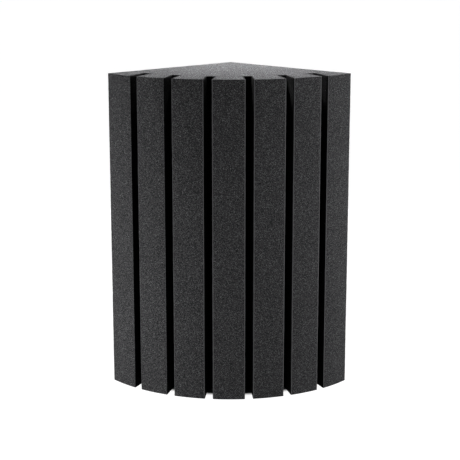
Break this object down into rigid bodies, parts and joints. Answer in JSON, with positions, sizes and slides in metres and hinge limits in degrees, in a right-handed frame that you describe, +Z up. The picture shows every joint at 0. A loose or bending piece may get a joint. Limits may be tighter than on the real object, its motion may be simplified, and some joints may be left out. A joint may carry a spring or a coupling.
{
  "type": "corner bass trap",
  "caption": "Tall quarter-round acoustic foam corner bass trap with a slotted, ribbed curved front and taped flat wall faces.",
  "frame": {"origin": "floor level under the block, midway between the rounded corner edge at the back and the crown of the curved front", "axes": "+Z up the block, -Y out of the curved front, +Y towards the corner edge, +X to the viewer's right when facing the front"},
  "size_m": [0.4518, 0.3376, 0.6],
  "materials": {
    "foam": "matte",
    "tape": "matte",
    "liner": "satin"
  },
  "bodies": {
    "root": {"foam_block": "foam", "mounting_tape_left_inner": "tape", "mounting_tape_left_outer": "tape", "mounting_tape_right_inner": "tape", "mounting_tape_right_outer": "tape", "release_liner_left_inner": "liner", "release_liner_left_outer": "liner", "release_liner_right_inner": "liner", "release_liner_right_outer": "liner"}
  },
  "joints": []
}
